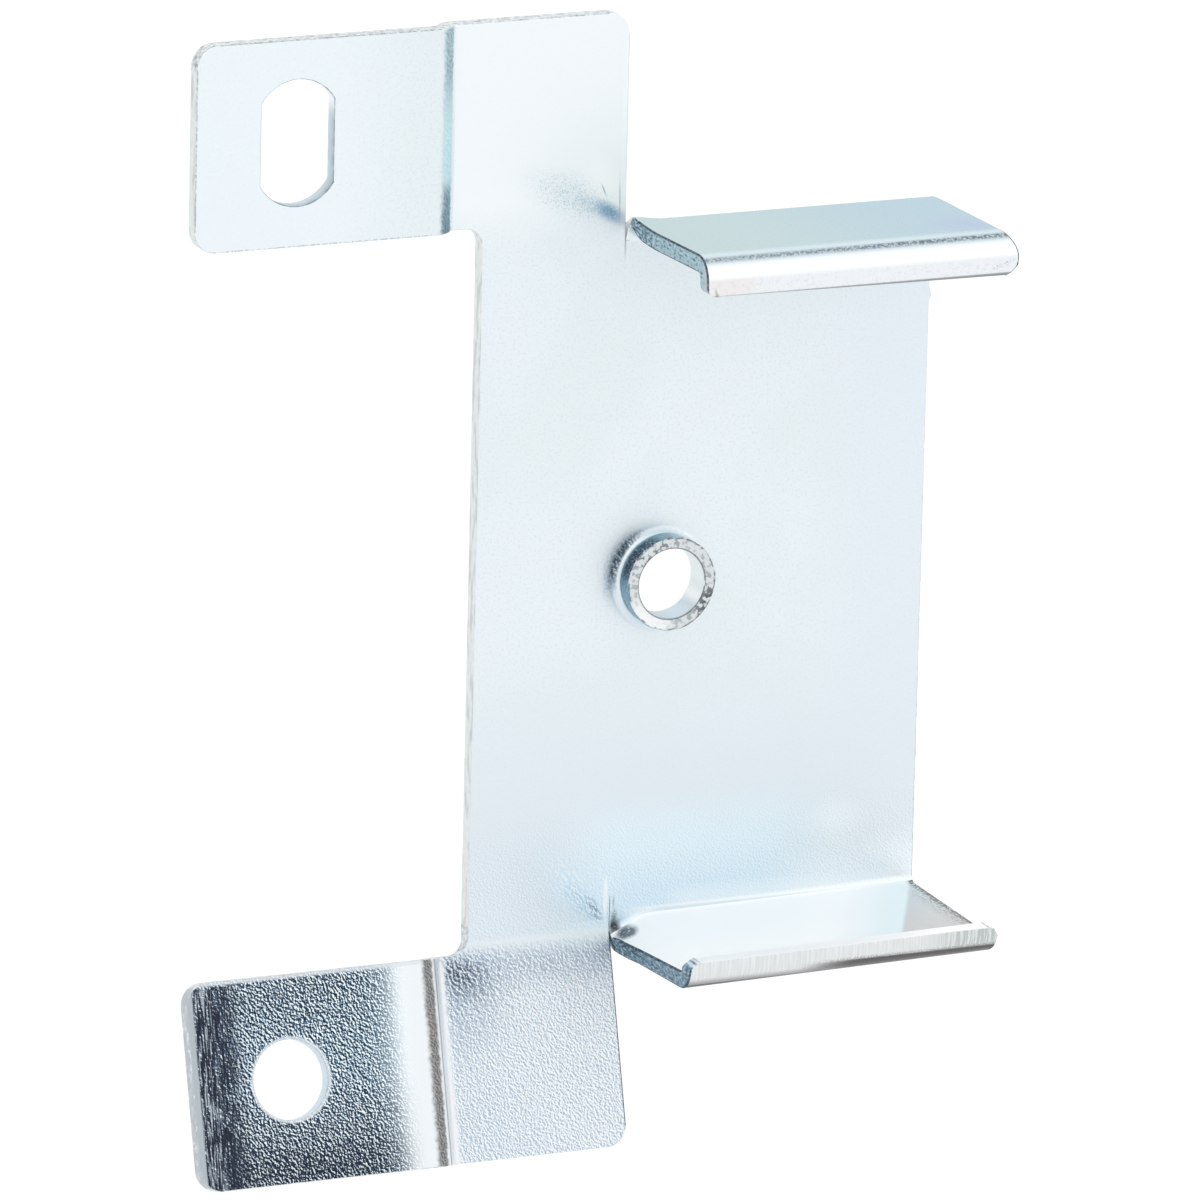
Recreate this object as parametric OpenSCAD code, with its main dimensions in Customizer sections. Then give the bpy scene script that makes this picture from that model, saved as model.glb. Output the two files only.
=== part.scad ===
// Drawer slide mounting bracket: one zinc plated steel sheet, punched and folded.
// The plate stands in the XZ plane with its front face on y = 0.
// The flanges and the collar point forward, along -Y. The fixing tabs lie on the -X side.
// The origin is the collar's axis at the plate's front face.

/* [Sheet] */
// Thickness of the steel sheet
sheet_t = 1.2; // [0.9:0.1:1.6]
// Radius of the outer corners of the ears and tabs
corner_r = 1.5; // [0.5:0.1:3]
// Radius of the inner corners of the notch between the tabs
notch_r = 1.2; // [0.5:0.1:2]

/* [Plate] */
// Clear height between the two flanges, where they leave the plate
channel_h = 47.2; // [44:0.4:49.2]
// From the collar's axis to the plate's edge at the open side
plate_right = 19.4; // [14:0.1:26]
// From the collar's axis to the plate's edge at the notch
plate_left = 13.6; // [9:0.1:20]
// From the collar's axis to the edge of the ears, where the flanges begin
ear_edge = 3.2; // [0:0.1:5]
// Width of the relief slits beside the ears
relief_w = 0.2; // [0.1:0.05:0.8]
// How far the relief slits reach past the flange bends
relief_l = 1.2; // [0.2:0.1:2]

/* [Flanges] */
// Reach of the flanges, from the plate's front face to the lips' outer face
flange_reach = 12.5; // [9:0.1:16]
// Inner radius of the bends between the plate and the flanges
flange_bend_r = 0.6; // [0.3:0.1:2]
// Outward splay of the upper flange, in degrees
upper_splay = 0.5; // [0:0.5:8]
// Outward splay of the lower flange, in degrees
lower_splay = 2.5; // [0:0.5:8]
// How much wider the flanges are at their lips than at the plate, at the open side
flange_flare = 0.4; // [0:0.1:1]
// Outer height of the upper lip
upper_lip_h = 2.6; // [2.1:0.1:4]
// Outer height of the lower lip
lower_lip_h = 2.1; // [2:0.1:4]
// Inner radius of the lip bends
lip_bend_r = 0.4; // [0.2:0.1:0.6]
// Radius of the lips' end corners
lip_corner_r = 0.7; // [0.3:0.1:1]

/* [Ears and tabs] */
// Height of the notch between the tabs
notch_h = 50; // [49:0.5:54]
// Height of each tab
tab_h = 13.9; // [10:0.1:18]
// From the plate's edge at the notch to the tabs' free ends
tab_l = 21; // [16:0.1:28]
// Step of the tabs in front of the plate
joggle_step = 1.0; // [0.8:0.1:1.6]
// Slope of the step, in degrees
joggle_angle = 50; // [40:1:55]
// Inner radius of the two bends of the step
joggle_r = 0.3; // [0.2:0.1:0.5]
// From the plate's edge at the notch to the start of the step
joggle_at = 2.1; // [1.5:0.1:4]
// Inner radius of the bend that lets the lower ear lean forward
lean_bend_r = 5; // [3:0.5:6]
// From the collar's axis to the start of that bend
lean_at = 23; // [22.4:0.1:23.2]

/* [Holes] */
// Distance between the centres of the round hole and the slot, along the sheet
fixing_pitch = 64; // [60:0.5:68]
// From the plate's edge at the notch to the centre of the round hole
hole_at = 14.0; // [10:0.1:17]
// Diameter of the round fixing hole
hole_d = 5.4; // [4:0.1:7]
// From the plate's edge at the notch to the centre of the slot
slot_at = 13.8; // [10:0.1:17]
// Width of the slot
slot_w = 5.2; // [4:0.1:5.8]
// Height of the slot, from end to end
slot_h = 8.5; // [7:0.1:10]
// Radius of the slot's two ends, a little more than half its width
slot_end_r = 3; // [2.9:0.1:3.4]

/* [Collar] */
// Bore of the drawn collar
collar_bore = 4.8; // [4:0.1:6]
// Wall of the drawn collar
collar_wall = 0.75; // [0.5:0.05:1]
// Height of the collar in front of the plate
collar_h = 1.8; // [1:0.1:3]
// Radius where the collar leaves the plate's front face
collar_root_r = 0.5; // [0.2:0.1:0.8]
// Radius of the drawn-in mouth at the plate's back face
collar_mouth_r = 1.0; // [0.4:0.1:1.2]

/* [Hidden] */
$fn = 64;
zinc = [0.80, 0.84, 0.88];

// Forward lean of the two ears and their tabs, in degrees
upper_lean = 0;
lower_lean = 15.04;
// Length that the solids which cut or trim stand proud of the sheet
spare = 4;
// Length that one solid shares with the next
lap = 1;
// Length that one stretch of a section shares with the next
seam = 0.1;
// Length of the solids that cut through the sheet, from front to back
through = 40;
// Height at which the plate parts into an ear and a flange
plate_z = channel_h / 2 - flange_bend_r - relief_l;
flange_x0 = -ear_edge + relief_w;
flange_x1 = plate_right + flange_flare;
fixing_z = (fixing_pitch - notch_h) / 2;
joggle_leg = (joggle_step - (2 * joggle_r + sheet_t) * (1 - cos(joggle_angle))) / sin(joggle_angle);

// Length of a flange between its two bends
function flange_leg(splay) =
    (flange_reach - flange_bend_r * (1 - sin(splay)) - lip_bend_r * (1 + sin(splay)) - sheet_t) / cos(splay);

// From the end of an ear's bend to the tab's inner edge, along the sheet
function tab_z(lean) = notch_h / 2 - lean_at - (lean_bend_r + sheet_t / 2) * lean * PI / 180;

// A wedge that opens from +Y towards +X by an angle, as far as a bend's rounding needs
module wedge(angle, far) {
    polygon([
        [0, 0],
        [0, far],
        [far * sin(angle / 2), far * cos(angle / 2)],
        [far * sin(angle), far * cos(angle)],
    ]);
}

// A sheet section runs along +X, with its front face on y = 0 and its back face on y = sheet_t.
// This draws a straight stretch, a bend towards the front face, and its children after the bend.
module bent(l, angle, r) {
    outer_r = r + sheet_t;
    corner = outer_r * tan(angle / 2);
    translate([l, -r]) {
        difference() {
            union() {
                translate([-l, r]) square([l + corner, sheet_t]);
                rotate(-angle) translate([0, r]) {
                    translate([-corner, 0]) square([corner + seam, sheet_t]);
                    children();
                }
            }
            if (angle > 0) difference() {
                wedge(angle, 2 * outer_r);
                circle(outer_r);
            }
        }
        if (angle > 0) difference() {
            wedge(angle, r + sheet_t / 2);
            circle(r);
        }
    }
}

// The same, with the bend towards the back face
module bent_back(l, angle, r) {
    translate([0, sheet_t]) mirror([0, 1]) bent(l, angle, r)
        translate([0, sheet_t]) mirror([0, 1]) children();
}

// Stands a section up, so that it runs along +Z, and draws it out from x0 to x1
module drawn_along_x(x0, x1) {
    translate([x1, 0, 0]) rotate([0, -90, 0]) linear_extrude(x1 - x0) children();
}

// Draws an outline given in X and Z through the sheet
module drawn_through_y() {
    rotate([90, 0, 0]) linear_extrude(through, center = true) children();
}

// Carries its children along with an ear that leans forward. There z = 0 is where the ear's bend ends.
module on_ear(lean) {
    translate([0, -lean_bend_r, lean_at]) rotate([lean, 0, 0])
        translate([0, lean_bend_r, 0]) children();
}

// The plate, as far as the relief slits
module plate() {
    drawn_along_x(-plate_left, plate_right)
        translate([-plate_z, 0]) square([2 * plate_z, sheet_t]);
}

// A flange with its lip, on the upper edge of the plate
module flange(splay, lip_h) {
    difference() {
        translate([0, 0, plate_z - lap]) drawn_along_x(flange_x0, flange_x1)
            bent(relief_l + lap, 90 - splay, flange_bend_r)
                bent(flange_leg(splay), 90, lip_bend_r)
                    square([lip_h - sheet_t - lip_bend_r, sheet_t]);
        lip_corners(splay, lip_h);
        flare_cut();
    }
}

// What is cut away to let a flange widen towards its lip
module flare_cut() {
    far_x = flange_x1 + spare;
    linear_extrude(channel_h)
        polygon([
            [plate_right, spare],
            [plate_right, 0],
            [flange_x1, -flange_reach],
            [far_x, -flange_reach],
            [far_x, spare],
        ]);
}

// What is cut away to round the two end corners of a lip
module lip_corners(splay, lip_h) {
    lip_z = channel_h / 2 + sheet_t + flange_reach * sin(splay) - lip_h;
    for (end = [0, 1]) {
        translate([end ? flange_x1 : flange_x0, -flange_reach, lip_z]) mirror([end, 0, 0])
            rotate([90, 0, 0]) linear_extrude(2 * sheet_t, center = true)
                difference() {
                    translate([-spare, -spare]) square(spare + lip_corner_r);
                    translate([lip_corner_r, lip_corner_r]) circle(lip_corner_r);
                }
    }
}

// The sheet of an ear and its stepped tab, with some of the plate below it, before its outline is cut
module arm_sheet(lean) {
    drawn_along_x(-plate_left - (notch_r + joggle_at) / 2, lap - ear_edge)
        translate([plate_z - lap, 0]) bent(lean_at - plate_z + lap, lean, lean_bend_r)
            square([notch_h / 2 - lean_at + tab_h, sheet_t]);
    on_ear(lean) translate([lap - plate_left, 0, tab_z(lean)]) linear_extrude(tab_h + spare) mirror([1, 0])
        bent(lap + joggle_at, joggle_angle, joggle_r)
            bent_back(joggle_leg, joggle_angle, joggle_r)
                square([tab_l, sheet_t]);
}

// Outline of the plate, ear and tab in X and Z. There z = 0 is the tab's inner edge.
module arm_outline() {
    ear_x = -ear_edge - corner_r;
    tab_x = -plate_left - tab_l + corner_r;
    low_z = corner_r;
    high_z = tab_h - corner_r;
    translate([-plate_left, -notch_h]) square([plate_left - ear_edge, notch_h + high_z]);
    translate([tab_x, 0]) square([ear_x - tab_x, tab_h]);
    translate([tab_x - corner_r, low_z]) square([tab_l, high_z - low_z]);
    translate([tab_x, low_z]) circle(corner_r);
    translate([tab_x, high_z]) circle(corner_r);
    translate([ear_x, high_z]) circle(corner_r);
    notch_corner();
}

// What fills the corner of the notch
module notch_corner() {
    translate([-plate_left - notch_r, -notch_r]) difference() {
        square(notch_r + lap);
        circle(notch_r);
    }
}

// An ear and its stepped tab, at the upper end of the plate
module arm(lean) {
    intersection() {
        arm_sheet(lean);
        on_ear(lean) drawn_through_y() translate([0, tab_z(lean)]) arm_outline();
    }
}

module fixing_hole() {
    rotate([90, 0, 0]) cylinder(h = through, d = hole_d, center = true);
}

module fixing_slot() {
    run = slot_h / 2 - slot_end_r;
    drawn_through_y() intersection() {
        square([slot_w, slot_h], center = true);
        union() {
            translate([0, run]) circle(slot_end_r);
            translate([0, -run]) circle(slot_end_r);
            square([2 * slot_end_r, 2 * run], center = true);
        }
    }
}

// The collar is drawn out of the plate, so its mouth is rounded in from the back
module collar() {
    bore_r = collar_bore / 2;
    wall_r = bore_r + collar_wall;
    rotate([90, 0, 0]) rotate_extrude() {
        translate([bore_r, 0]) square([collar_wall, collar_h]);
        difference() {
            translate([bore_r, 0]) square([collar_wall + collar_root_r, collar_root_r]);
            translate([wall_r + collar_root_r, collar_root_r]) circle(collar_root_r);
        }
    }
}

// The bore through the plate, with its drawn-in mouth at the back
module collar_hole() {
    bore_r = collar_bore / 2;
    rotate([90, 0, 0]) translate([0, 0, -sheet_t]) rotate_extrude() {
        translate([0, -spare]) square([bore_r, collar_h + sheet_t + 2 * spare]);
        difference() {
            translate([0, -spare]) square([bore_r + collar_mouth_r, spare + collar_mouth_r]);
            translate([bore_r + collar_mouth_r, collar_mouth_r]) circle(collar_mouth_r);
        }
    }
}

module bracket() {
    color(zinc) difference() {
        union() {
            plate();
            flange(upper_splay, upper_lip_h);
            mirror([0, 0, 1]) flange(lower_splay, lower_lip_h);
            arm(upper_lean);
            mirror([0, 0, 1]) arm(lower_lean);
            collar();
        }
        collar_hole();
        on_ear(upper_lean)
            translate([-plate_left - slot_at, 0, tab_z(upper_lean) + fixing_z]) fixing_slot();
        mirror([0, 0, 1]) on_ear(lower_lean)
            translate([-plate_left - hole_at, 0, tab_z(lower_lean) + fixing_z]) fixing_hole();
    }
}

bracket();
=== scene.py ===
import bpy
import bmesh
import math
from mathutils import Matrix, Vector


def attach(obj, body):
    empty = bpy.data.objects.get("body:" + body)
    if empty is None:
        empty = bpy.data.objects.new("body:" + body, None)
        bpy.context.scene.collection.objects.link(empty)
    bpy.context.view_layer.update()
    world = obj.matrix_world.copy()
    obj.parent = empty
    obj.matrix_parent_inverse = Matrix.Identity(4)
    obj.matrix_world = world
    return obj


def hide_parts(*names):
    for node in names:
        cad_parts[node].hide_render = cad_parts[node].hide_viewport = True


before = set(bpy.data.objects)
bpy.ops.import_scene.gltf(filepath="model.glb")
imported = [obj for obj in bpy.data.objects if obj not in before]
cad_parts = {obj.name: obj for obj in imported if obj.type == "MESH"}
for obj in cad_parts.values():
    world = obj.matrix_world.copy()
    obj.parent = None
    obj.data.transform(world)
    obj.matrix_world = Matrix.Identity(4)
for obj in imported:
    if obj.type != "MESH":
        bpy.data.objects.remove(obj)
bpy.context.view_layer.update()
print("frame loaded")

mm = 0.001

# the lower ear leans forward: its own axes are leanY, through the sheet, and leanZ, down from its bend
earLean = {
    "cos": 0.965745,
    "sin": 0.259493,
    "start": 23.0,    # mm below the collar
    "radius": 5.0,
}

sheetFold = {
    "merge": 0.002 * mm,
    "cutMerge": 0.001 * mm,
    "flatAngle": 0.4,         # degrees between triangles that count as one face
    "edgeAngle": 34,          # degrees from which an edge is rolled over
    "edgeRoll": 0.11 * mm,
    "edgeSegments": 3,
    "crowdedFront": -11,      # mm, as what follows: the lips' corners, where short edges stay sharp
    "crowdedReach": 0.15,
    "crowdedLength": 0.6,
    "near": 0.05,             # what counts as close to a line, and as on it
    "exact": 0.01,
    "flangeEnd": -3.0,
    "flangeLength": 22.8,
    "plateRight": 19.3,
    "rootStart": 21.9,        # height on the plate from which the wear sets in
    "rootSoft": 1.2,
    "tornReach": 2.6,         # along a flange, where its torn corner curls outward
    "tornUpper": 0.25,
    "tornLower": 0.85,
    "forwardUpper": 4.5,      # in front of the plate, where the curl has gone
    "forwardLower": 9.5,
    "cuts": 6,                # how often a torn corner is cut each way, to bend smoothly
    "cutHeight": 22.4,
    "cutStart": -0.6,
    "cutStep": 0.75,
    "tornBack": 0.18,         # the upper corner draws back from the slit and thins
    "tornThin": 0.75,
    "tornFront": -1.7,
    "tornSoft": 1.4,
    "tornFoot": 22.9,
    "tornRise": 0.8,
    "tornInside": (24.3, 0.1),
    "rollover": 0.2,          # the lower end's upper edge
    "rolloverFront": 11.5,
    "rolloverSoft": 3,
    "rolloverLow": -24.4,
    "creaseRise": 0.17,
    "creaseForward": 11,
    "lowerTwist": 0.4,        # rise of the lower flange's open end
    "lipTwist": 0.2,          # drop of the upper lip's open end
    "lipTwistFront": -11.3,
    "lipTwistSoft": 1.2,
    "lipRound": 0.5,          # the upper lip's open end, rounded off
    "lipRoundFrom": (18, -10.8, 22),
    "lipRoundSoft": 1.8,
    "lipMiddle": 23.4,
    "lipHalf": 1.3,
    "slitX": (-3.25, -2.95),
    "slitFront": -0.7,
    "slitHeight": 24,
    "slitSharp": 23.6,
    "slitClosed": 0.17,
    "burrHeight": 17.95,
    "burrReach": 0.5,
    "burrOut": 0.2,
    "rimBurr": 0.1,           # the collar's rim spreads a little, in waves along x and z
    "rimFront": -1.7,
    "rimBand": (3.0, 3.4),
    "rimWave": (0.35, 7, 11),
}

# limits in mm, and cosines, of the faces that have a finish of their own
finishArea = {
    "collarReach": 3.7,
    "collarBack": 1.15,
    "rimFront": -1.6,
    "rimFacing": -0.5,
    "flangeStart": -3.05,
    "bendHeight": 23.02,
    "bendFront": -0.65,
    "insideHeight": (-24.8, -22.9),
    "insideFront": -11.4,
    "insideFacing": 0.75,
    "lipFront": -11.2,
    "lipHeight": 23.4,
    "lipFacing": 0.9,
    "endFacing": 0.7,
    "edgeFacing": 0.3,
    "leanStart": -3.1,
    "lipEnd": (18.6, -10.6, 22),
    "tornX": (-3.3, -2.86),
    "tornFront": -0.8,
    "tornHeight": 22.5,
}


def smooth(value):
    value = min(1, max(0, value))
    return value * value * (3 - 2 * value)


def sheetWay(place):
    if place.x < finishArea["leanStart"] and place.z < -earLean["start"]:
        return Vector((0, earLean["cos"], -earLean["sin"]))
    return Vector((0, 1, 0))


# 0 rolled skin, 1 punched edge, 2 torn rim of the collar, 3 torn edge, 4 the lower flange's inner face
def finishIndex(face):
    area = finishArea
    place = face.calc_center_median() / mm
    way = face.normal
    if math.hypot(place.x, place.z) < area["collarReach"] and place.y < area["collarBack"]:
        return 2 if way.y < area["rimFacing"] and place.y < area["rimFront"] else 0
    if place.x > area["flangeStart"]:
        low, high = area["insideHeight"]
        if low < place.z < high and way.z > area["insideFacing"] and place.y > area["insideFront"]:
            return 4
        if abs(place.z) > area["bendHeight"] or place.y < area["bendFront"]:
            lipEdge = (place.y < area["lipFront"] and abs(place.z) < area["lipHeight"]
                       and abs(way.z) > area["lipFacing"])
            return 1 if abs(way.x) > area["endFacing"] or lipEdge else 0
    return 1 if abs(way.dot(sheetWay(place))) < area["edgeFacing"] else 0


def cutFaces(bm, faces, place, way):
    parts = set(faces) | {e for f in faces for e in f.edges} | {v for f in faces for v in f.verts}
    bmesh.ops.bisect_plane(bm, geom=list(parts), dist=sheetFold["cutMerge"],
                           plane_co=Vector(place) * mm, plane_no=way)


# cuts the torn corners and the burr's edge, so that they can bend
def cutForWear(bm):
    end, reach, start = (sheetFold[k] for k in ("flangeEnd", "tornReach", "rootStart"))
    near, count, right = (sheetFold[k] for k in ("near", "cuts", "plateRight"))
    cuts = [((end + reach * n / count, 0, 0), (1, 0, 0)) for n in range(1, count + 1)]
    cuts += [((0, sheetFold["cutStart"] - n * sheetFold["cutStep"], 0), (0, 1, 0)) for n in range(count)]
    for place, way in cuts:
        cutFaces(bm, [f for f in bm.faces if abs(f.calc_center_median().z) > sheetFold["cutHeight"] * mm
                      and all(v.co.x > (end - near) * mm and abs(v.co.z) > start * mm for v in f.verts)
                      and any(v.co.x < (end + reach) * mm for v in f.verts)], place, way)
    for n in range(-2, 3):
        height = sheetFold["burrHeight"] + n * sheetFold["burrReach"] / 2
        cutFaces(bm, [f for f in bm.faces if all(v.co.x > right * mm for v in f.verts)
                      and min(v.co.z for v in f.verts) < height * mm < max(v.co.z for v in f.verts)],
                 (0, 0, height), (0, 0, 1))


# how far a flange's vertex moves along x and z, in mm
def flangeWear(x, y, z):
    end, reach = sheetFold["flangeEnd"], sheetFold["tornReach"]
    root = smooth((abs(z) - sheetFold["rootStart"]) / sheetFold["rootSoft"])
    curl = smooth((end + reach - x) / reach)
    along = (x - end) / sheetFold["flangeLength"]
    atEnd = x < end + sheetFold["near"]
    if z > 0:
        torn = smooth((y - sheetFold["tornFront"]) / sheetFold["tornSoft"]) if atEnd else 0
        torn *= smooth((z - sheetFold["tornFoot"]) / sheetFold["tornRise"])
        insideZ, insideY = sheetFold["tornInside"]
        thin = sheetFold["tornThin"] * torn if z < insideZ and y < insideY else 0
        drop = smooth((sheetFold["lipTwistFront"] - y) / sheetFold["lipTwistSoft"])
        drop *= sheetFold["lipTwist"] * along
        curl *= smooth(1 + y / sheetFold["forwardUpper"])
        return sheetFold["tornBack"] * torn * root, (sheetFold["tornUpper"] * curl + thin) * root - drop
    curl *= smooth(1 + y / sheetFold["forwardLower"])
    rolled = smooth((sheetFold["rolloverFront"] + y) / sheetFold["rolloverSoft"]) * sheetFold["rollover"]
    if not atEnd or z <= sheetFold["rolloverLow"]:
        rolled = 0
    crease = smooth((x - end) / reach) * smooth(1 + y / sheetFold["creaseForward"])
    lift = sheetFold["lowerTwist"] * along + sheetFold["creaseRise"] * crease
    return 0, (lift - sheetFold["tornLower"] * curl - rolled) * root


# torn corners, a slight twist and a burr, as handling left them
def wearSheet(bm):
    cutForWear(bm)
    end, start, near = (sheetFold[k] for k in ("flangeEnd", "rootStart", "near"))
    inner, outer = sheetFold["rimBand"]
    wave, waveX, waveZ = sheetFold["rimWave"]
    for vert in bm.verts:
        x, y, z = vert.co / mm
        if x > sheetFold["plateRight"] and abs(z) < start:
            away = abs(z - sheetFold["burrHeight"]) / sheetFold["burrReach"]
            vert.co.x += sheetFold["burrOut"] * smooth(1 - away) * mm
        bore = math.hypot(x, z)
        if inner < bore < outer and y < sheetFold["rimFront"]:
            spread = sheetFold["rimBurr"] * (1 + wave * math.sin(waveX * x + waveZ * z)) / bore * mm
            vert.co.x += x * spread
            vert.co.z += z * spread
        onSlit = y > sheetFold["slitFront"] and abs(z) < sheetFold["slitHeight"]
        if onSlit and abs(x - end) < sheetFold["exact"]:
            vert.co.x -= sheetFold["slitClosed"] * mm
        if x >= end - near and abs(z) >= start:
            outward, upward = flangeWear(x, y, z)
            vert.co.x += outward * mm
            vert.co.z += upward * mm


def rolledEdges(bm):
    sharp = [e for e in bm.edges if len(e.link_faces) == 2
             and e.calc_face_angle(0) > math.radians(sheetFold["edgeAngle"])]
    count = {}
    for edge in sharp:
        for vert in edge.verts:
            count[vert] = count.get(vert, 0) + 1
    crowded = [v.co for v, n in count.items() if n > 2 and v.co.y < sheetFold["crowdedFront"] * mm]
    left, right = sheetFold["slitX"]

    def isSlit(place):
        return (left < place.x / mm < right and abs(place.z) / mm < sheetFold["slitSharp"]
                and place.y > sheetFold["slitFront"] * mm)

    def isRolled(edge):
        if all(isSlit(v.co) for v in edge.verts):
            return False
        if edge.calc_length() > sheetFold["crowdedLength"] * mm:
            return True
        return all((v.co - c).length > sheetFold["crowdedReach"] * mm for v in edge.verts for c in crowded)

    return [e for e in sharp if isRolled(e)]


def foldedSheet():
    bm = bmesh.new()
    bm.from_mesh(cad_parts["bracket"].data)
    bmesh.ops.remove_doubles(bm, verts=bm.verts, dist=sheetFold["merge"])
    bmesh.ops.dissolve_limit(bm, angle_limit=math.radians(sheetFold["flatAngle"]),
                             verts=bm.verts, edges=bm.edges)
    for face in bm.faces:
        face.material_index = finishIndex(face)
    wearSheet(bm)
    bm.normal_update()
    rolled = bmesh.ops.bevel(bm, geom=rolledEdges(bm), offset=sheetFold["edgeRoll"], offset_type="OFFSET",
                             affect="EDGES", segments=sheetFold["edgeSegments"], profile=0.5, material=-1,
                             clamp_overlap=False)["faces"]
    roundX, roundY, roundZ = sheetFold["lipRoundFrom"]
    for vert in bm.verts:
        x, y, z = vert.co / mm
        if z > roundZ and y < roundY:
            off = sheetFold["lipRound"] * smooth((x - roundX) / sheetFold["lipRoundSoft"])
            vert.co.x -= off * ((z - sheetFold["lipMiddle"]) / sheetFold["lipHalf"]) ** 2 * mm
    (endX, endY, endZ), (left, right) = finishArea["lipEnd"], finishArea["tornX"]
    for face in rolled:
        x, y, z = face.calc_center_median() / mm
        lipEnd = x > endX and y < endY and z > endZ
        torn = left < x < right and y < finishArea["tornFront"] and abs(z) > finishArea["tornHeight"]
        if lipEnd or torn:
            face.material_index = 3
    for face in bm.faces:
        face.smooth = True
    mesh = bpy.data.meshes.new("foldedSheet")
    bm.to_mesh(mesh)
    bm.free()
    piece = bpy.data.objects.new("foldedSheet", mesh)
    bpy.context.scene.collection.objects.link(piece)
    even = piece.modifiers.new("evenNormals", "WEIGHTED_NORMAL")
    even.keep_sharp = True
    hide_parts("bracket")
    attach(piece, "root")
    return piece


# a screen colour, 0 to 255, as the linear colour that the nodes take
def tone(red, green, blue):
    values = [value / 255 for value in (red, green, blue)]
    return tuple(v / 12.92 if v <= 0.04045 else ((v + 0.055) / 1.055) ** 2.4 for v in values) + (1.0,)


def addNode(tree, kind, inputs=None, **settings):
    made = tree.nodes.new(kind)
    for name, value in settings.items():
        setattr(made, name, value)
    for key, value in (inputs or {}).items():
        if isinstance(value, bpy.types.NodeSocket):
            tree.links.new(value, made.inputs[key])
        else:
            made.inputs[key].default_value = value
    return made


def calc(tree, operation, first, second=0.0, third=0.0):
    return addNode(tree, "ShaderNodeMath", {0: first, 1: second, 2: third}, operation=operation).outputs[0]


# 0 below low and 1 above high, or the other way round where low is the larger. The curve stays within
# 0 and 1 by itself, and a clamp on each mask takes more memory than Cycles gives a shader.
def rise(tree, value, low, high):
    ends = (low, high, 0.0, 1.0) if low <= high else (high, low, 1.0, 0.0)
    return addNode(tree, "ShaderNodeMapRange", {"Value": value, "From Min": ends[0], "From Max": ends[1],
                                                "To Min": ends[2], "To Max": ends[3]},
                   interpolation_type="SMOOTHSTEP", clamp=False).outputs["Result"]


bandSoft = 0.3           # mm to each side of a band's limit, where the band gives no softness
raggedDepth = 0.45       # mm between the inmost and the outmost of raggedX
roughGrain = (0.3, 0.7)  # the part of a grain's range that goes into the roughness

# sizes in mm of the features of each grain; with a slope, a grain is painted with the highlights and shade
# that raking light would give it
grains = {
    "cloud": {"size": 11.0, "seed": 3.0},
    "mottle": {"size": 0.62, "seed": 5.0},
    "fleck": {"size": 0.17, "detail": 3.0},
    "speck": {"size": 0.085, "detail": 1.0, "seed": 11.0},
    "peel": {"size": (0.14, 0.2, 0.17), "turn": -35, "slope": (0.055, 0.0, 0.03), "gain": 2.6},
    "tabPeel": {"size": (0.16, 0.22, 0.18), "turn": -30, "slope": (0.055, 0.0, 0.045), "gain": 2.7,
                "seed": 17.0},
    "coarsePeel": {"size": (0.2, 0.3, 0.26), "turn": -35, "slope": (0.07, 0.0, 0.04), "gain": 2.4,
                   "seed": 4.0},
    "ragged": {"size": 0.4, "detail": 3.0, "seed": 8.0},
    "downStreak": {"size": (0.17, 0.4, 2.2), "detail": 3.0, "seed": 9.0},
    "shear": {"size": (0.16, 1.0, 3.0), "detail": 4.0, "seed": 21.0},
    "endStreak": {"size": (0.5, 0.42, 0.15), "detail": 4.0, "seed": 6.0},
    "tabStreak": {"size": (0.1, 0.5, 2.6), "detail": 3.0, "seed": 31.0},
    "pit": {"size": 0.33, "detail": 4.0, "seed": 14.0},
}


def grainValue(tree, place, size, turn=0.0, detail=2.0, seed=0.0, slope=None, gain=1.0):
    def noise(shift):
        spot = (seed - shift[0], seed * 0.7 - shift[1], -seed - shift[2])
        sizes = size if isinstance(size, tuple) else (size, size, size)
        turned = addNode(tree, "ShaderNodeMapping", {
            "Vector": place, "Location": spot, "Scale": sizes, "Rotation": (0, math.radians(turn), 0),
        }, vector_type="TEXTURE")
        return addNode(tree, "ShaderNodeTexNoise", {"Vector": turned.outputs[0], "Scale": 1.0,
                                                    "Detail": detail}).outputs[0]

    value = noise((0, 0, 0))
    if slope:
        value = calc(tree, "MULTIPLY_ADD", calc(tree, "SUBTRACT", value, noise(slope)), gain, 0.5)
    return value


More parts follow.
